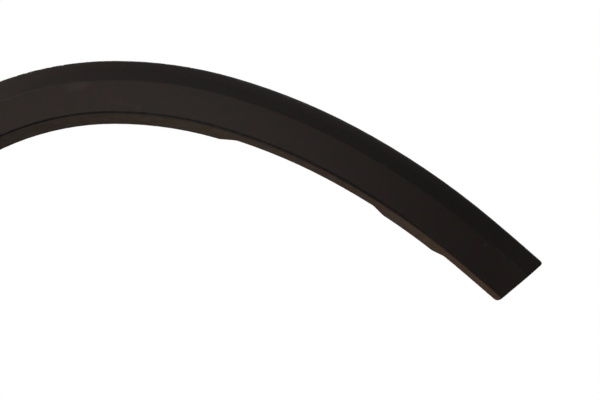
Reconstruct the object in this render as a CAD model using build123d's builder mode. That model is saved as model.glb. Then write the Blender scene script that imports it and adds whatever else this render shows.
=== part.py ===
"""Wheel arch trim: a moulded plastic flare with its panel clips.

Millimetres. +X runs to the right along the car, +Z is up and -Y faces the viewer.
The body panel is the plane Y = 0, and the origin is on it, at the axis of the apex peg.
Places along the trim are distances along its outer edge, counted from the apex,
negative to the left. Across the trim, insets are counted in from the outer edge
and heights stand out of the panel towards the viewer.
"""
import os
from math import acos, ceil, cos, degrees, floor, hypot, radians, sin, tan

from build123d import *

# The arch: length of the outer edge each side of the apex, and radius and run of its arcs
LEFT_LENGTH = 435.0
RIGHT_LENGTH = 539.5
LEFT_RADIUS = 366.0
SHOULDER_ARCS = ((480.0, 134.0), (700.0, 147.0), (873.0, 183.0))
TAIL_RADIUS = 2700.0
END_SPARE = 5.0

# The section: bevel, crease, face and flange
WALL = 2.5
RIM_HEIGHT = 5.0
RIM_LAND = 4.0
RIM_ROUND = 8.0
CROWN_INSET = 9.0
CROWN_RISE = 1.2
CROWN_ROUND = 45.0
CREASE_INSET = 22.0
CREASE_HEIGHT = 17.0
CREASE_ROUND = 5.0
FACE_INSET = 60.5
FACE_HEIGHT = 20.8
EDGE_BREAK = 0.4
FLANGE_DRAFT = 25.2

# The groove beside the face's inner edge, which runs out towards the right
GROOVE_INSET = 56.5
GROOVE_WIDTH = 2.4
GROOVE_DEPTH = 2.9
GROOVE_LEAN = 15.0

# The flange's back edge: full depth on the left, shallow on the right with one tab
FLANGE_BACK = 0.0
SHALLOW_BACK = 8.5
TAB_BACK = 2.0
TAIL_LENGTH = 91.0
TAB_LENGTH = 104.0
SHALLOW_LENGTH = 185.0
RAMP_SLOPE = 25.0
RAMP_ROUND = 10.0

# The ends, seen from the front
RIGHT_END_LEAN = 8.8
OUTER_CORNER_ROUND = 3.0
INNER_CORNER_ROUND = 5.0
CORNER_SKIM = 0.05

# Clip seats on the back
CLIP_INSET = 38.5
CLIP_PITCH = 140.0
END_ROOM = 40.0
SEAT_BACK = 2.4
SEAT_PLATE = 2.0
SEAT_SPAN = 22.0
SEAT_WALL = 2.0
SEAT_PAD = 0.5
SLOT_SNAP = 0.8

# Panel clips
CLIP_GAP = 0.1
NECK_GAP = 0.15
CAP_SIDE = 13.0
CAP_THICKNESS = 1.6
NECK_SIDE = 6.0
COLLAR_SIDE = 16.0
COLLAR_BREAK = 1.2
WAIST_DIAMETER = 6.4
BULGE_DIAMETER = 8.6
BULGE_START = 3.0
BULGE_LENGTH = 2.0
TIP_DIAMETER = 3.6
SHANK_LENGTH = 13.0
LEG_SLOT = 1.2

# Locating pegs on the back
PEG_DIAMETER = 6.0
PEG_LENGTH = 10.0
PEG_CHAMFER = 1.5
PEG_CORE = 7.0
PEG_RIB_SPAN = 13.0
PEG_RIB = 1.8
PEG_PITCHES = 3

# Gussets between the face and the flange
GUSSET = 1.6
GUSSET_FACE_LEG = 22.0
GUSSET_STOP = 1.0

os.makedirs("parts", exist_ok=True)

VIEWER = Vector(0, -1, 0)
CAR = Vector(0, 1, 0)


def inward(heading):
    """Direction from the outer edge towards the wheel, in the panel plane."""
    return Vector(sin(radians(heading)), 0, -cos(radians(heading)))


def along(heading):
    """Direction of the outer edge, left to right."""
    return Vector(cos(radians(heading)), 0, sin(radians(heading)))


def arch_arcs():
    """Each arc as start distance, start heading, centre, radius and run, left to right."""
    left_run = LEFT_LENGTH + END_SPARE
    right_run = RIGHT_LENGTH + END_SPARE
    chain = ((LEFT_RADIUS, left_run), *SHOULDER_ARCS, (TAIL_RADIUS, right_run))
    distance = -left_run
    heading = degrees(left_run / LEFT_RADIUS)
    centre = Vector(0, 0, CLIP_INSET - LEFT_RADIUS)
    last_radius = LEFT_RADIUS
    arcs = []
    for radius, full_run in chain:
        run = min(full_run, right_run - distance)
        if run <= 0:
            break
        centre += inward(heading) * (radius - last_radius)
        arcs.append((distance, heading, centre, radius, run))
        distance += run
        heading -= degrees(run / radius)
        last_radius = radius
    return arcs


ARCS = arch_arcs()


def heading_at(distance):
    """Heading of the outer edge and the centre and radius of its arc, at a distance."""
    for start, heading, centre, radius, run in ARCS:
        if distance <= start + run:
            break
    return heading - degrees((distance - start) / radius), centre, radius


def section_plane(distance):
    """Plane across the trim: x is the inset, y is the height, z points left along the edge."""
    heading, centre, radius = heading_at(distance)
    edge = centre - inward(heading) * radius
    return Plane(origin=edge, x_dir=inward(heading), z_dir=-along(heading))


def panel_plane(distance, inset, height, facing=VIEWER):
    """Plane parallel to the panel: x is inward, and y runs right if it faces the viewer."""
    across = section_plane(distance)
    return Plane(origin=across.from_local_coords((inset, height, 0)), x_dir=across.x_dir, z_dir=facing)


# Slopes of the section's straight runs, and the lines that lie a depth under its skin
bevel_rise = (CREASE_HEIGHT - RIM_HEIGHT) / CREASE_INSET
face_rise = (FACE_HEIGHT - CREASE_HEIGHT) / (FACE_INSET - CREASE_INSET)
flange_run = tan(radians(FLANGE_DRAFT))


def bevel_height(inset, depth=0.0):
    return RIM_HEIGHT + bevel_rise * inset - depth * hypot(1, bevel_rise)


def face_height(inset, depth=0.0):
    return CREASE_HEIGHT + face_rise * (inset - CREASE_INSET) - depth * hypot(1, face_rise)


def crease_inset(depth):
    """Inset where the lines under the bevel and under the face meet."""
    return CREASE_INSET + depth * (hypot(1, bevel_rise) - hypot(1, face_rise)) / (bevel_rise - face_rise)


def flange_inset(height, depth=0.0):
    return FACE_INSET + flange_run * (FACE_HEIGHT - height) - depth * hypot(1, flange_run)


groove_floor = face_height(GROOVE_INSET) - GROOVE_DEPTH


def trim_section():
    """Corners of the moulding's section as inset, height and rounding."""
    groove_back = groove_floor - WALL
    backing = GROOVE_INSET - WALL
    return (
        (0, 0, 0),
        (0, RIM_HEIGHT, RIM_ROUND),
        (CROWN_INSET, bevel_height(CROWN_INSET) + CROWN_RISE, CROWN_ROUND),
        (CREASE_INSET, CREASE_HEIGHT, CREASE_ROUND),
        (FACE_INSET - EDGE_BREAK, face_height(FACE_INSET - EDGE_BREAK), 0),
        (flange_inset(FACE_HEIGHT - EDGE_BREAK), FACE_HEIGHT - EDGE_BREAK, 0),
        (flange_inset(FLANGE_BACK), FLANGE_BACK, 0),
        (flange_inset(FLANGE_BACK, WALL), FLANGE_BACK, 0),
        (flange_inset(groove_back, WALL), groove_back, 0),
        (backing, groove_back, 0),
        (backing, face_height(backing, WALL), 0),
        (crease_inset(WALL), face_height(crease_inset(WALL), WALL), 0),
        (RIM_LAND, bevel_height(RIM_LAND, WALL), 0),
        (RIM_LAND, 0, 0),
    )


def end_wall_outline():
    """Middle line of the skin, closed along the back from the rim to the flange."""
    middle = WALL / 2
    back = SHALLOW_BACK + middle
    backing = GROOVE_INSET - middle
    return (
        (RIM_LAND / 2, 0),
        (RIM_LAND / 2, bevel_height(RIM_LAND / 2, middle)),
        (crease_inset(middle), face_height(crease_inset(middle), middle)),
        (backing, face_height(backing, middle)),
        (backing, groove_floor - middle),
        (flange_inset(groove_floor - middle, middle), groove_floor - middle),
        (flange_inset(back, middle), back),
    )


def groove_cuts():
    """Start, axis and turn of each groove cut; the last leans, so that it rises out of the face."""
    whole = len(SHOULDER_ARCS)
    cuts = [(start, Axis(centre, CAR), run / radius) for start, _, centre, radius, run in ARCS[:whole]]
    start, heading, centre, radius, _ = ARCS[whole]
    lean = radians(GROOVE_LEAN)
    leaning = Axis(centre, CAR * cos(lean) + inward(heading) * sin(lean))
    cuts.append((start, leaning, acos(1 - 2 * GROOVE_DEPTH / (radius * tan(lean)))))
    return cuts


def flange_edge_plane(distance):
    """Plane behind the flange, facing the wheel: x runs right along it and y is the height."""
    across = section_plane(distance)
    origin = across.from_local_coords((FACE_INSET, 0, 0))
    return Plane(origin=origin, x_dir=-across.z_dir, z_dir=across.x_dir)


def run_on_flange(plane, distance):
    """Where a place along the edge falls on a flange plane's x axis."""
    place = section_plane(distance).from_local_coords((flange_inset(SHALLOW_BACK), 0, 0))
    return plane.to_local_coords(place).X


def ramp(step):
    """Length of a flange ramp that changes the depth by a step."""
    return step / tan(radians(RAMP_SLOPE))


def end_outline(inner_inset, lean):
    """What an end cut takes away: x is the inset and y runs out of the end."""
    inner_y = -inner_inset * tan(radians(lean))
    outer_run = 2 * OUTER_CORNER_ROUND
    inner_run = 2 * INNER_CORNER_ROUND
    inner = inner_inset - CORNER_SKIM
    beyond = inner_inset + END_SPARE
    return (
        (-END_SPARE, -outer_run, 0),
        (CORNER_SKIM, -outer_run, 0),
        (CORNER_SKIM, 0, OUTER_CORNER_ROUND),
        (inner, inner_y, INNER_CORNER_ROUND),
        (inner, inner_y - inner_run, 0),
        (beyond, inner_y - inner_run, 0),
        (beyond, 2 * END_SPARE, 0),
        (-END_SPARE, 2 * END_SPARE, 0),
    )


def corners(outline):
    return [(x, y) for x, y, _ in outline]


def roundings(outline):
    return [radius for _, _, radius in outline]


def pattern(start, pitch):
    """Places a pitch apart that keep clear of the ends, one of them at the start."""
    first = ceil((END_ROOM - LEFT_LENGTH - start) / pitch)
    last = floor((RIGHT_LENGTH - END_ROOM - start) / pitch)
    return [start + pitch * step for step in range(first, last + 1)]


clip_places = pattern(CLIP_PITCH / 2, CLIP_PITCH)
peg_places = pattern(0, PEG_PITCHES * CLIP_PITCH)
gusset_places = pattern(CLIP_PITCH / 4, CLIP_PITCH / 2)
tail_start = RIGHT_LENGTH - TAIL_LENGTH
tab_middle = tail_start - TAB_LENGTH / 2
shallow_end = tail_start - TAB_LENGTH
shallow_start = shallow_end - SHALLOW_LENGTH
seat_top = SEAT_BACK + SEAT_PLATE
gusset_back = SHALLOW_BACK + GUSSET_STOP
through = 4 * FACE_HEIGHT

# The moulding
with BuildPart() as arch_trim:
    # Skin: the section turned about each arc's centre in turn
    for start, heading, centre, radius, run in ARCS:
        with BuildSketch(section_plane(start)):
            with BuildLine():
                FilletPolyline(*corners(trim_section()), radius=roundings(trim_section()), close=True)
            make_face()
        revolve(axis=Axis(centre, CAR), revolution_arc=degrees(run / radius))

    # Groove, arc by arc
    for start, axis, turn in groove_cuts():
        with BuildSketch(section_plane(start)):
            with Locations((GROOVE_INSET, groove_floor)):
                Rectangle(GROOVE_WIDTH, 2 * GROOVE_DEPTH, align=Align.MIN)
        revolve(axis=axis, revolution_arc=degrees(turn), mode=Mode.SUBTRACT)

    # Shallow stretch of the flange, from a ramp at the left to the middle of the tab
    edge = flange_edge_plane((shallow_start + shallow_end) / 2)
    below = FLANGE_BACK - WALL
    with BuildSketch(edge):
        with BuildLine():
            FilletPolyline(
                (run_on_flange(edge, shallow_start) - ramp(SHALLOW_BACK - below), below),
                (run_on_flange(edge, shallow_start), SHALLOW_BACK),
                (run_on_flange(edge, shallow_end), SHALLOW_BACK),
                (run_on_flange(edge, shallow_end) + ramp(SHALLOW_BACK - TAB_BACK), TAB_BACK),
                (run_on_flange(edge, tab_middle), TAB_BACK),
                (run_on_flange(edge, tab_middle), below),
                radius=(0, RAMP_ROUND, RAMP_ROUND, RAMP_ROUND, 0, 0),
                close=True,
            )
        make_face()
    extrude(amount=through, mode=Mode.SUBTRACT)

    # Shallow tail of the flange, from the middle of the tab to the right end
    edge = flange_edge_plane((tail_start + RIGHT_LENGTH) / 2)
    with BuildSketch(edge):
        with BuildLine():
            FilletPolyline(
                (run_on_flange(edge, tab_middle), below),
                (run_on_flange(edge, tab_middle), TAB_BACK),
                (run_on_flange(edge, tail_start) - ramp(SHALLOW_BACK - TAB_BACK), TAB_BACK),
                (run_on_flange(edge, tail_start), SHALLOW_BACK),
                (run_on_flange(edge, RIGHT_LENGTH) + 2 * END_SPARE, SHALLOW_BACK),
                (run_on_flange(edge, RIGHT_LENGTH) + 2 * END_SPARE, below),
                radius=(0, 0, RAMP_ROUND, RAMP_ROUND, 0, 0),
                close=True,
            )
        make_face()
    extrude(amount=through, mode=Mode.SUBTRACT)

    # End walls, left longer than needed and trimmed by the end cuts
    left_end = section_plane(-LEFT_LENGTH)
    right_end = section_plane(RIGHT_LENGTH).rotated((0, RIGHT_END_LEAN, 0))
    with BuildSketch(left_end.offset(-WALL)):
        Polygon(*end_wall_outline(), align=None)
    extrude(amount=WALL + END_SPARE)
    with BuildSketch(right_end.offset(WALL)):
        Polygon(*end_wall_outline(), align=None)
    extrude(amount=-WALL - END_SPARE)

    # Clip seats: a block under the face, hollowed from its right side, with a keyhole slot
    for place in clip_places:
        across = section_plane(place)
        block_start = CLIP_INSET - SEAT_SPAN / 2
        block_end = CLIP_INSET + SEAT_SPAN / 2
        with BuildSketch(across):
            Polygon(
                (block_start, SEAT_BACK),
                (block_end, SEAT_BACK),
                (block_end, face_height(block_end, WALL / 2)),
                (block_start, face_height(block_start, WALL / 2)),
                align=None,
            )
        extrude(amount=SEAT_SPAN / 2, both=True)
        pocket_start = block_start + SEAT_WALL
        pocket_end = block_end - SEAT_WALL
        with BuildSketch(across.offset(SEAT_SPAN / 2 - SEAT_WALL)):
            Polygon(
                (pocket_start, seat_top),
                (pocket_end, seat_top),
                (pocket_end, face_height(pocket_end, WALL) - SEAT_PAD),
                (pocket_start, face_height(pocket_start, WALL) - SEAT_PAD),
                align=None,
            )
        extrude(amount=-SEAT_SPAN, mode=Mode.SUBTRACT)
        with BuildSketch(panel_plane(place, CLIP_INSET, SEAT_BACK - SEAT_PLATE)):
            Rectangle(NECK_SIDE + 2 * NECK_GAP, NECK_SIDE + 2 * NECK_GAP)
            Rectangle(NECK_SIDE - SLOT_SNAP, SEAT_SPAN, align=(Align.CENTER, Align.MIN))
        extrude(amount=2 * SEAT_PLATE + SEAT_PAD, mode=Mode.SUBTRACT)

    # Locating pegs: a ribbed boss from the face to the panel and a pin beyond it
    for place in peg_places:
        with BuildSketch(panel_plane(place, CLIP_INSET, 0)):
            Rectangle(PEG_CORE, PEG_CORE)
            Rectangle(PEG_RIB_SPAN, PEG_RIB)
            Rectangle(PEG_RIB, PEG_RIB_SPAN)
        extrude(amount=face_height(CLIP_INSET, WALL / 2))
        with BuildSketch(panel_plane(place, CLIP_INSET, 0, CAR)):
            Circle(PEG_DIAMETER / 2)
        pin = extrude(amount=PEG_LENGTH)
        chamfer(pin.edges().sort_by(Axis.Y)[-1], PEG_CHAMFER)

    # Gussets that hold the flange to the face
    for place in gusset_places:
        with BuildSketch(section_plane(place)):
            Polygon(
                (FACE_INSET - GUSSET_FACE_LEG, face_height(FACE_INSET - GUSSET_FACE_LEG, WALL / 2)),
                (GROOVE_INSET - WALL / 2, face_height(GROOVE_INSET - WALL / 2, WALL / 2)),
                (GROOVE_INSET - WALL / 2, groove_floor - WALL / 2),
                (flange_inset(groove_floor - WALL / 2, WALL / 2), groove_floor - WALL / 2),
                (flange_inset(gusset_back, WALL / 2), gusset_back),
                align=None,
            )
        extrude(amount=GUSSET / 2, both=True)

    # Ends: the left one square, the right one leaning, both with rounded corners
    for place, facing, back, lean in (
        (-LEFT_LENGTH, CAR, FLANGE_BACK, 0),
        (RIGHT_LENGTH, VIEWER, SHALLOW_BACK, RIGHT_END_LEAN),
    ):
        outline = end_outline(flange_inset(back), lean)
        with BuildSketch(panel_plane(place, 0, 0, facing)):
            with BuildLine():
                FilletPolyline(*corners(outline), radius=roundings(outline), close=True)
            make_face()
        extrude(amount=through, both=True, mode=Mode.SUBTRACT)

arch_trim.part.label = "arch_trim"

# One panel clip, with the panel at Z = 0, the moulding above it and the shank below
with BuildPart() as clip:
    with BuildSketch(Plane.XY.offset(seat_top + CLIP_GAP)):
        Rectangle(CAP_SIDE, CAP_SIDE)
    extrude(amount=CAP_THICKNESS)
    with BuildSketch(Plane.XY):
        Rectangle(NECK_SIDE, NECK_SIDE)
    extrude(amount=seat_top + CLIP_GAP)
    with BuildSketch(Plane.XY):
        collar = Rectangle(COLLAR_SIDE, COLLAR_SIDE)
        chamfer(collar.vertices(), COLLAR_BREAK)
    extrude(amount=SEAT_BACK - CLIP_GAP)
    with BuildSketch(Plane.XZ):
        with BuildLine():
            Polyline(
                (0, 0),
                (WAIST_DIAMETER / 2, 0),
                (BULGE_DIAMETER / 2, -BULGE_START),
                (BULGE_DIAMETER / 2, -BULGE_START - BULGE_LENGTH),
                (TIP_DIAMETER / 2, -SHANK_LENGTH),
                (0, -SHANK_LENGTH),
                close=True,
            )
        make_face()
    revolve(axis=Axis.Z)
    with BuildSketch(Plane.XY):
        Rectangle(LEG_SLOT, BULGE_DIAMETER)
    extrude(amount=-BULGE_START - BULGE_LENGTH, mode=Mode.SUBTRACT)

# The clips in their seats
with BuildPart() as panel_clips:
    with Locations(*[panel_plane(place, CLIP_INSET, 0) for place in clip_places]):
        add(clip.part)

panel_clips.part.label = "panel_clips"

for piece in (arch_trim, panel_clips):
    export_step(piece.part, f"parts/{piece.part.label}.step")
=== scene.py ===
"""Dresses the wheel arch trim: grained moulding, nylon clips, soft studio light and the camera.

Metres, in the frame of the solids: +X to the right, +Z up, -Y towards the viewer.
"""
from math import radians

import bpy
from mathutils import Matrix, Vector

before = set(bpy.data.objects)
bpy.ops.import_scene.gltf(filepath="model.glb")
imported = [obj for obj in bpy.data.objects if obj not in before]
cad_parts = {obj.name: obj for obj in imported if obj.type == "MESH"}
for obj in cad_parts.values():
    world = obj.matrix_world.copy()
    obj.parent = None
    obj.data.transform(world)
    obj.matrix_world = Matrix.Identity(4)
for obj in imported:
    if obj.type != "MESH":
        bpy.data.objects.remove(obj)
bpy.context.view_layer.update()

# Camera: straight at the panel. PIXEL is the size of one point of the image on the trim's face
IMAGE_WIDTH = 600
SENSOR_WIDTH = 36.0
PIXEL = 0.0011067
VIEW_DISTANCE = 3.0
FACE_PLANE = 0.018
VIEW_X = 0.2064
VIEW_Z = -0.1165

# World: a white backdrop, dim light from all sides, and in reflections a dim room before the trim.
# ROOM_EDGE is the range of the direction's Y over which the room gives way to the backdrop
BACKDROP = (1.0, 1.0, 1.0, 1.0)
BACKDROP_STRENGTH = 1.0
AMBIENT = 0.1
ROOM_GLOSS = 0.1
ROOM_EDGE = (0.2, 1.0)

# Lamps: name, place, what it points at, size, spread in degrees, power in watts and colour
WHITE = (1.0, 1.0, 1.0)
SOFT_WHITE = (1.0, 0.95, 0.92)
WARM = (1.0, 0.65, 0.28)
LAMPS = (
    ("front", (0.05, -0.6, -0.1), (0.05, 0.0, -0.03), 0.5, 180.0, 0.24, WHITE),
    ("front_near", (0.05, -0.4, -0.12), (0.05, 0.0, 0.0), 0.25, 180.0, 0.44, SOFT_WHITE),
    ("upper_left", (-0.7, -0.5, 0.4), (-0.05, 0.0, 0.0), 0.5, 180.0, 2.55, WHITE),
    ("above_left", (-0.2, 0.12, 0.6), (0.0, 0.0, 0.0), 0.5, 180.0, 0.15, WHITE),
    ("above_right", (0.47, 0.1, 0.55), (0.4, 0.0, -0.1), 0.5, 180.0, 0.58, WHITE),
    ("back", (-0.3, 2.0, 0.4), (0.1, 0.0, -0.1), 1.0, 50.0, 4.5, WHITE),
    ("left", (-1.7, -0.16, -0.1), (0.1, 0.0, -0.1), 1.0, 180.0, 16.7, WARM),
    ("low_left", (-0.9, -0.35, -0.9), (-0.05, 0.0, 0.0), 0.6, 180.0, 2.8, WARM),
)

# Floor, out of the camera's view
FLOOR_PLACE = (0.2, 0.5, -1.6)
FLOOR_SIZE = 2.4
FLOOR_COLOUR = (0.80, 0.78, 0.75, 1.0)
FLOOR_ROUGHNESS = (0.7, 0.85)
FLOOR_SCALE = 3.0
FLOOR_DETAIL = 2.0

# The moulding's plastic: two shades that mottle it, its gloss and its grain.
# GRAIN_FADES is the range of the normal's Y over which the grain turns faint, on the hidden side
WARM_BLACK = (0.0314, 0.0208, 0.0216, 1.0)
COOL_BLACK = (0.0260, 0.0236, 0.0204, 1.0)
MOTTLE_SCALE = 100.0
MOTTLE_DETAIL = 3.0
MOTTLE_RANGE = (0.35, 0.65)
PLASTIC_SPECULAR = 0.25
PLASTIC_ROUGHNESS = (0.52, 0.66)
GLOSS_DETAIL = 5.0
GRAIN_SCALE = 1100.0
GRAIN_DEPTH = 0.00012
GRAIN_STRENGTH = 0.35
BACK_STRENGTH = 0.08
GRAIN_FADES = (0.1, 0.4)

# Part of the noise's range that roughness and nylon shades follow
CLOUD_RANGE = (0.3, 0.7)

# Specks of dust, in a share of the cells
DUST = (0.14, 0.12, 0.11, 1.0)
DUST_SCALE = 24.0
DUST_SIZE = 0.020
DUST_SHARE = 0.35

# Scuffs on the face: middle in X and Z, half length, half width, turn in degrees and strength
# The scuffs' colour also paints the highlight along the crease, and the paler right end
SCUFF_AND_HIGHLIGHT = (0.060, 0.052, 0.047, 1.0)
SCUFF_DEPTH = 0.02
SCUFF_FADES = (1.0, 0.2)
SCUFFS = (
    (0.0277, -0.0136, 0.0050, 0.0010, -38.0, 0.50),
    (0.0117, -0.0104, 0.0180, 0.0017, 5.0, 0.14),
    (0.0060, -0.0066, 0.0210, 0.0010, 6.0, 0.12),
    (-0.0404, 0.0100, 0.0190, 0.0085, -10.0, 0.36),
)

# Small nicks on the face: middle in X and Z, and strength
NICK_SIZE = 0.0016
NICKS = (
    (0.2269, -0.0770, 0.90),
    (0.2324, -0.0804, 0.70),
    (0.3021, -0.0783, 0.60),
    (0.3209, -0.0938, 0.60),
    (0.3187, -0.1276, 0.75),
    (0.3700, -0.1312, 0.50),
    (0.4120, -0.1666, 0.90),
    (0.4150, -0.1606, 0.50),
)

# The painted shade and light below, and the paler right end, show fully where all their ranges are
# full.
# A range goes from none to full, and is one of X along the trim, or of the Y or Z of the surface's
# normal

# The bevel is painted with shade, darkest beside the crease, and less so towards the right end
BEVEL_PAINTED_SHADE = (0.0040, 0.0085, 0.0075, 1.0)
BEVEL_SHARE = 0.26
BEVEL_INNER_Y = (-0.82, -0.91)
BEVEL_TILT_Z = (0.12, 0.26)
BEVEL_FADES_X = (0.43, 0.34)

# A painted highlight runs along the crease, stronger towards the left
CREASE_HIGHLIGHT_SHARE = 0.3
CREASE_BEVEL_Y = (-0.93, -0.96)
CREASE_FACE_Z = (0.10, 0.16)
CREASE_HIGHLIGHT_X = (-0.03, -0.09)

# The last stretch at the right is blended towards the paler scuff colour
END_SHARE = 0.25
END_PALER_X = (0.41, 0.46)

# The flange is painted with warm light reflected from below, brighter towards its right end
FLANGE_PAINTED_WARM_LIGHT = (0.0296, 0.0194, 0.0108, 1.0)
FLANGE_PAINTED_BRIGHTER_LIGHT = (0.0590, 0.0355, 0.0180, 1.0)
FLANGE_LIGHT_BRIGHTER_X = (0.25, 0.41)
FLANGE_LIGHT_SHARE = 0.8
FLANGE_FRONT_Y = (-0.15, -0.35)
FLANGE_DOWN_Z = (-0.20, -0.45)

# The groove's flat floor is painted with shade, up to where the groove starts to run out
GROOVE_PAINTED_SHADE = (0.0140, 0.0108, 0.0100, 1.0)
GROOVE_FLOOR_Y = (-0.9975, -0.9990)
GROOVE_SHADE_X = (0.29, 0.18)

# The clips' nylon
NYLON = (0.76, 0.73, 0.65, 1.0)
NYLON_SHADED = (0.66, 0.62, 0.53, 1.0)
NYLON_SPECULAR = 0.45
NYLON_ROUGHNESS = (0.35, 0.5)
NYLON_SCALE = 160.0
NYLON_DETAIL = 3.0

# Sockets of the Mix node when it mixes colours
MIX_SHARE = 0
MIX_FIRST = 6
MIX_SECOND = 7
MIX_RESULT = 2


def add_node(tree, kind, inputs, **settings):
    """A new node whose inputs are set to a value or linked from another node's output."""
    node = tree.nodes.new(kind)
    for name, value in settings.items():
        setattr(node, name, value)
    for key, value in inputs.items():
        if isinstance(value, bpy.types.NodeSocket):
            tree.links.new(value, node.inputs[key])
        else:
            node.inputs[key].default_value = value
    return node


def remap(tree, value, low, high, to_low=0.0, to_high=1.0):
    """A value taken smoothly from one range to another."""
    inputs = {"Value": value, "From Min": low, "From Max": high, "To Min": to_low, "To Max": to_high}
    return add_node(tree, "ShaderNodeMapRange", inputs, interpolation_type="SMOOTHSTEP").outputs[0]


def noise(tree, coords, scale, detail):
    """Noise of a scale in cells per metre."""
    inputs = {"Vector": coords, "Scale": scale, "Detail": detail}
    return add_node(tree, "ShaderNodeTexNoise", inputs).outputs[0]


def blend(tree, share, first, second):
    """A mix of two colours."""
    inputs = {MIX_SHARE: share, MIX_FIRST: first, MIX_SECOND: second}
    return add_node(tree, "ShaderNodeMix", inputs, data_type="RGBA").outputs[MIX_RESULT]


def times(tree, first, *others):
    """The product of several values."""
    for other in others:
        first = add_node(tree, "ShaderNodeMath", {0: first, 1: other}, operation="MULTIPLY").outputs[0]
    return first


def split(tree, vector):
    """The X, Y and Z of a vector."""
    return add_node(tree, "ShaderNodeSeparateXYZ", {"Vector": vector}).outputs


def new_material(name):
    """An empty material, its node tree and its coordinates."""
    material = bpy.data.materials.new(name)
    material.use_nodes = True
    material.node_tree.nodes.clear()
    place = material.node_tree.nodes.new("ShaderNodeTexCoord")
    return material, material.node_tree, place


def finish_material(tree, inputs):
    """The surface shader and the material's output."""
    shader = add_node(tree, "ShaderNodeBsdfPrincipled", inputs)
    add_node(tree, "ShaderNodeOutputMaterial", {"Surface": shader.outputs[0]})


def mottled(tree, coords):
    """The plastic's two shades, mixed in a fine cloud."""
    cloud = noise(tree, coords, MOTTLE_SCALE, MOTTLE_DETAIL)
    return blend(tree, remap(tree, cloud, *MOTTLE_RANGE), WARM_BLACK, COOL_BLACK)


def scuff(tree, coords, middle_x, middle_z, half_length, half_width, turn, strength):
    """How much of a long mark covers a point, most at its middle and nothing at its rim."""
    placed = add_node(tree, "ShaderNodeMapping", {
        "Vector": coords,
        "Location": (middle_x, -FACE_PLANE, middle_z),
        "Rotation": (0.0, radians(turn), 0.0),
        "Scale": (half_length, SCUFF_DEPTH, half_width),
    }, vector_type="TEXTURE")
    reach = add_node(tree, "ShaderNodeVectorMath", {0: placed.outputs[0]}, operation="LENGTH")
    return remap(tree, reach.outputs["Value"], *SCUFF_FADES, 0.0, strength)


def marked(tree, coords, colour):
    """The colour with scuffs, nicks and specks of dust on it."""
    for mark in SCUFFS:
        colour = blend(tree, scuff(tree, coords, *mark), colour, SCUFF_AND_HIGHLIGHT)
    for middle_x, middle_z, strength in NICKS:
        nick = scuff(tree, coords, middle_x, middle_z, NICK_SIZE, NICK_SIZE, 0.0, strength)
        colour = blend(tree, nick, colour, SCUFF_AND_HIGHLIGHT)
    cells = add_node(tree, "ShaderNodeTexVoronoi", {"Vector": coords, "Scale": DUST_SCALE})
    chosen = add_node(tree, "ShaderNodeSeparateColor", {"Color": cells.outputs["Color"]})
    near = remap(tree, cells.outputs["Distance"], DUST_SIZE, 0.0)
    kept = remap(tree, chosen.outputs[0], 1.0 - DUST_SHARE, 1.0)
    return blend(tree, times(tree, near, kept), colour, DUST)


def with_painted_light_and_shade(tree, coords, normal, colour):
    """The colour with painted shade on the bevel and the groove's floor, a painted highlight on the
    crease, painted warm light on the flange and a paler right end.
    """
    along_x = split(tree, coords)["X"]
    facing = split(tree, normal)
    facing_y = facing["Y"]
    facing_z = facing["Z"]

    # Painted shade on the bevel beside the crease
    bevel_painted_shade = times(
        tree,
        remap(tree, facing_y, *BEVEL_INNER_Y, 0.0, BEVEL_SHARE),
        remap(tree, facing_z, *BEVEL_TILT_Z),
        remap(tree, along_x, *BEVEL_FADES_X),
    )
    colour = blend(tree, bevel_painted_shade, colour, BEVEL_PAINTED_SHADE)

    # Painted highlight along the crease
    crease_highlight = times(
        tree,
        remap(tree, facing_y, *CREASE_BEVEL_Y),
        remap(tree, facing_z, *CREASE_FACE_Z),
        remap(tree, along_x, *CREASE_HIGHLIGHT_X, 0.0, CREASE_HIGHLIGHT_SHARE),
    )
    colour = blend(tree, crease_highlight, colour, SCUFF_AND_HIGHLIGHT)
    # The right end, blended paler
    colour = blend(tree, remap(tree, along_x, *END_PALER_X, 0.0, END_SHARE), colour, SCUFF_AND_HIGHLIGHT)

    # Painted warm light on the flange, brighter towards the right end
    warm_light_colour = blend(tree, remap(tree, along_x, *FLANGE_LIGHT_BRIGHTER_X), FLANGE_PAINTED_WARM_LIGHT, FLANGE_PAINTED_BRIGHTER_LIGHT)
    flange_painted_light = times(
        tree,
        remap(tree, facing_y, *FLANGE_FRONT_Y),
        remap(tree, facing_z, *FLANGE_DOWN_Z, 0.0, FLANGE_LIGHT_SHARE),
    )
    colour = blend(tree, flange_painted_light, colour, warm_light_colour)

    # Painted shade on the groove's floor
    groove_painted_shade = times(
        tree,
        remap(tree, facing_y, *GROOVE_FLOOR_Y),
        remap(tree, along_x, *GROOVE_SHADE_X),
    )
    return blend(tree, groove_painted_shade, colour, GROOVE_PAINTED_SHADE)


def grain(tree, coords, normal):
    """The moulded grain as a bump."""
    pebbles = add_node(tree, "ShaderNodeTexVoronoi", {
        "Vector": coords,
        "Scale": GRAIN_SCALE,
    }, feature="SMOOTH_F1")
    bump = add_node(tree, "ShaderNodeBump", {
        "Strength": remap(tree, split(tree, normal)["Y"], *GRAIN_FADES, GRAIN_STRENGTH, BACK_STRENGTH),
        "Distance": GRAIN_DEPTH,
        "Height": pebbles.outputs["Distance"],
    })
    return bump.outputs[0]


def grained_black():
    """Unpainted black plastic with a fine moulded grain, faint mottling and marks of use, and painted
    light and shade.
    """
    material, tree, place = new_material("grained_black")
    coords = place.outputs["Object"]
    normal = place.outputs["Normal"]
    colour = marked(tree, coords, mottled(tree, coords))
    gloss = noise(tree, coords, MOTTLE_SCALE, GLOSS_DETAIL)
    finish_material(tree, {
        "Base Color": with_painted_light_and_shade(tree, coords, normal, colour),
        "Roughness": remap(tree, gloss, *CLOUD_RANGE, *PLASTIC_ROUGHNESS),
        "Specular IOR Level": PLASTIC_SPECULAR,
        "Normal": grain(tree, coords, normal),
    })
    return material


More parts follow.
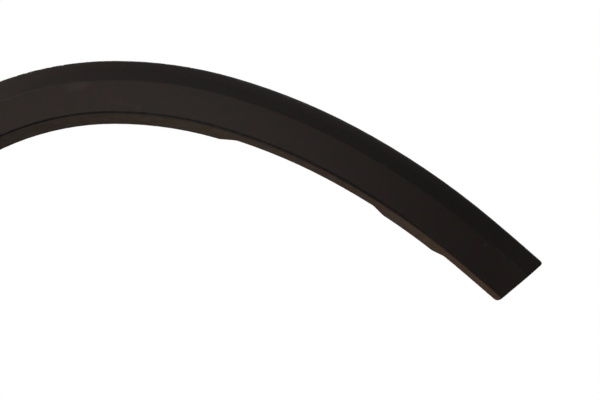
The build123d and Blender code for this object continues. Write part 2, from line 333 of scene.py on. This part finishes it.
def clip_nylon():
    """Natural nylon, slightly cloudy and satin."""
    material, tree, place = new_material("clip_nylon")
    cloud = noise(tree, place.outputs["Object"], NYLON_SCALE, NYLON_DETAIL)
    finish_material(tree, {
        "Base Color": blend(tree, remap(tree, cloud, *CLOUD_RANGE), NYLON, NYLON_SHADED),
        "Roughness": remap(tree, cloud, *CLOUD_RANGE, *NYLON_ROUGHNESS),
        "Specular IOR Level": NYLON_SPECULAR,
    })
    return material


def floor_paint():
    """Plain pale paint, slightly uneven in its gloss."""
    material, tree, place = new_material("floor_paint")
    cloud = noise(tree, place.outputs["Object"], FLOOR_SCALE, FLOOR_DETAIL)
    finish_material(tree, {
        "Base Color": FLOOR_COLOUR,
        "Roughness": remap(tree, cloud, *CLOUD_RANGE, *FLOOR_ROUGHNESS),
    })
    return material


def add_camera():
    """The camera at the photograph's angle."""
    data = bpy.data.cameras.new("camera")
    data.sensor_width = SENSOR_WIDTH
    data.lens = VIEW_DISTANCE / PIXEL * SENSOR_WIDTH / IMAGE_WIDTH
    camera = bpy.data.objects.new("camera", data)
    camera.location = (VIEW_X, -FACE_PLANE - VIEW_DISTANCE, VIEW_Z)
    camera.rotation_euler = (radians(90), 0, 0)
    bpy.context.scene.collection.objects.link(camera)
    bpy.context.scene.camera = camera


def add_world():
    """White to the camera, dim light all round, and in reflections white only behind the trim."""
    world = bpy.data.worlds.new("studio")
    bpy.context.scene.world = world
    world.use_nodes = True
    tree = world.node_tree
    tree.nodes.clear()
    rays = tree.nodes.new("ShaderNodeLightPath")
    mirrored = add_node(tree, "ShaderNodeMath", {
        0: rays.outputs["Is Glossy Ray"],
        1: rays.outputs["Is Transmission Ray"],
    }, operation="MAXIMUM")
    direction = tree.nodes.new("ShaderNodeTexCoord").outputs["Generated"]
    gloss = remap(tree, split(tree, direction)["Y"], *ROOM_EDGE, ROOM_GLOSS, BACKDROP_STRENGTH)
    ambient, room, backdrop = [
        add_node(tree, "ShaderNodeBackground", {"Color": BACKDROP, "Strength": strength}).outputs[0]
        for strength in (AMBIENT, gloss, BACKDROP_STRENGTH)
    ]
    lit = add_node(tree, "ShaderNodeMixShader", {0: mirrored.outputs[0], 1: ambient, 2: room})
    seen = add_node(tree, "ShaderNodeMixShader", {
        0: rays.outputs["Is Camera Ray"],
        1: lit.outputs[0],
        2: backdrop,
    })
    add_node(tree, "ShaderNodeOutputWorld", {"Surface": seen.outputs[0]})


def add_lamps():
    """The soft round lamps."""
    for name, place, target, size, spread, power, colour in LAMPS:
        data = bpy.data.lights.new(name, "AREA")
        data.shape = "DISK"
        data.size = size
        data.spread = radians(spread)
        data.energy = power
        data.color = colour
        lamp = bpy.data.objects.new(name, data)
        lamp.location = place
        aim = Vector(target) - Vector(place)
        lamp.rotation_euler = aim.to_track_quat("-Z", "Y").to_euler()
        bpy.context.scene.collection.objects.link(lamp)


def add_floor():
    """The floor, which isn't part of the trim."""
    half = FLOOR_SIZE / 2
    mesh = bpy.data.meshes.new("floor")
    corners = [(-half, -half, 0), (half, -half, 0), (half, half, 0), (-half, half, 0)]
    mesh.from_pydata(corners, [], [(0, 1, 2, 3)])
    mesh.materials.append(floor_paint())
    floor = bpy.data.objects.new("floor", mesh)
    floor.location = FLOOR_PLACE
    bpy.context.scene.collection.objects.link(floor)


for name, material in (("arch_trim", grained_black()), ("panel_clips", clip_nylon())):
    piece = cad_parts[name]
    piece.data.materials.clear()
    piece.data.materials.append(material)

add_camera()
add_world()
add_lamps()
add_floor()
bpy.context.scene.view_settings.view_transform = "Standard"
